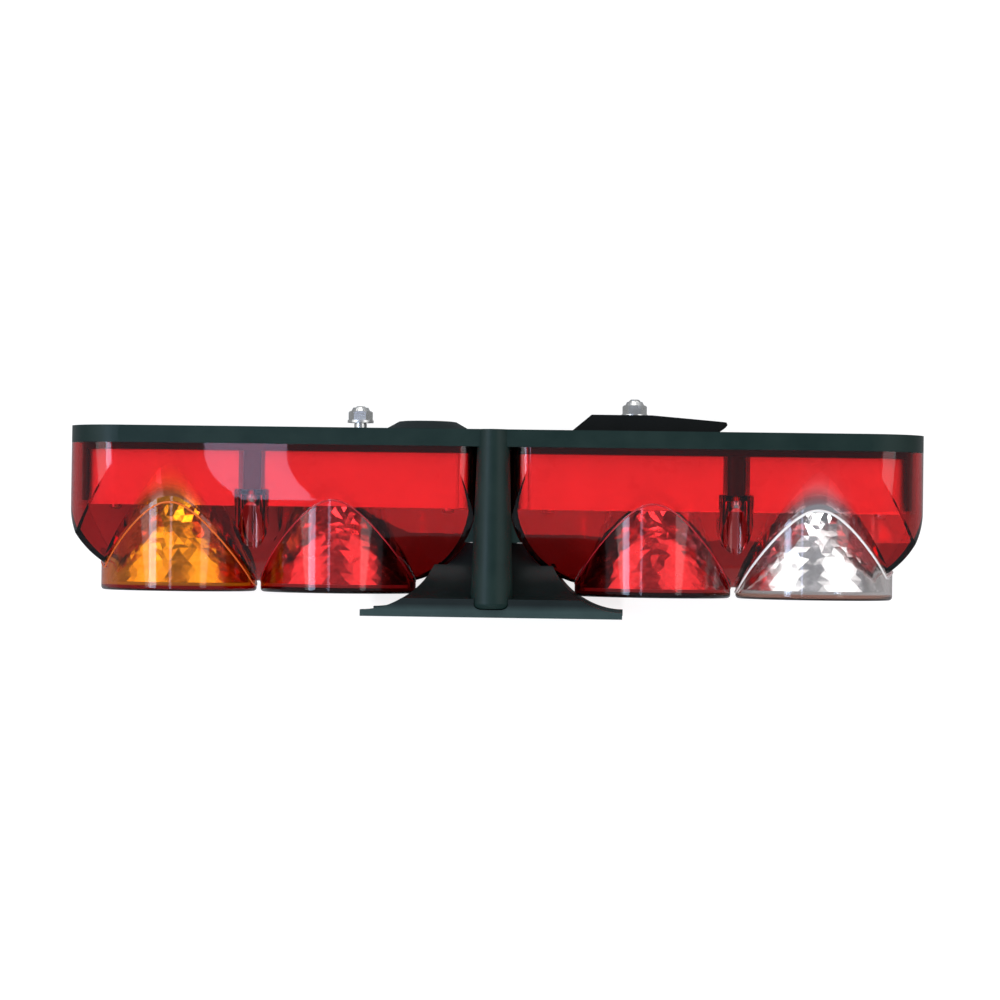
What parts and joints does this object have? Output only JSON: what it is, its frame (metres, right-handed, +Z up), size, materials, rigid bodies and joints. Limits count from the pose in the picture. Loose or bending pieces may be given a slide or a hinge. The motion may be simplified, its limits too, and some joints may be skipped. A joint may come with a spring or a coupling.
{
  "type": "rear combination lamp",
  "caption": "Long rear combination lamp for a trailer: black tray, red lenses with round amber, red and clear turrets, black centre bar and flared cover, and studs on the back.",
  "frame": {"origin": "middle between the two studs on the tray's back plane", "axes": "+X along the length towards the clear turret, +Y out of the back along the studs, +Z up"},
  "size_m": [0.4, 0.1032, 0.0916],
  "materials": {
    "tray_plastic": "fine moulded texture",
    "trim_plastic": "fine moulded texture",
    "lens_red": "clear red, polished",
    "lens_amber": "clear amber, polished",
    "lens_clear": "clear, polished",
    "seal_rubber": "matt",
    "reflector_metal": "vacuum metallised",
    "bulb_glass": "clear",
    "bulb_glass_amber": "amber",
    "holder_plastic": "matt",
    "strip_brass": "rolled",
    "zinc_steel": "bright zinc",
    "dark_screw": "black zinc",
    "pad_plastic": "fine moulded texture",
    "grommet_rubber": "matt"
  },
  "bodies": {
    "root": {"housing": "tray_plastic", "center_trim": "trim_plastic", "lens_left": "lens_red", "lens_right": "lens_red", "amber_window": "lens_amber", "clear_window": "lens_clear", "seal_left": "seal_rubber", "seal_right": "seal_rubber", "reflector_left": "reflector_metal", "reflector_right": "reflector_metal", "bulb_amber": "bulb_glass_amber", "bulb_tail": "bulb_glass", "bulb_stop": "bulb_glass", "bulb_clear": "bulb_glass", "holder_amber": "holder_plastic", "holder_tail": "holder_plastic", "holder_stop": "holder_plastic", "holder_clear": "holder_plastic", "earth_strip": "strip_brass", "terminal_block": "holder_plastic", "lens_screws": "zinc_steel", "reflector_screws": "zinc_steel", "trim_screws": "dark_screw", "stud_left": "zinc_steel", "stud_right": "zinc_steel", "washer_left": "zinc_steel", "washer_right": "zinc_steel", "nut_left": "zinc_steel", "nut_right": "zinc_steel", "mounting_pad": "pad_plastic", "cable_grommet": "grommet_rubber"}
  },
  "joints": []
}
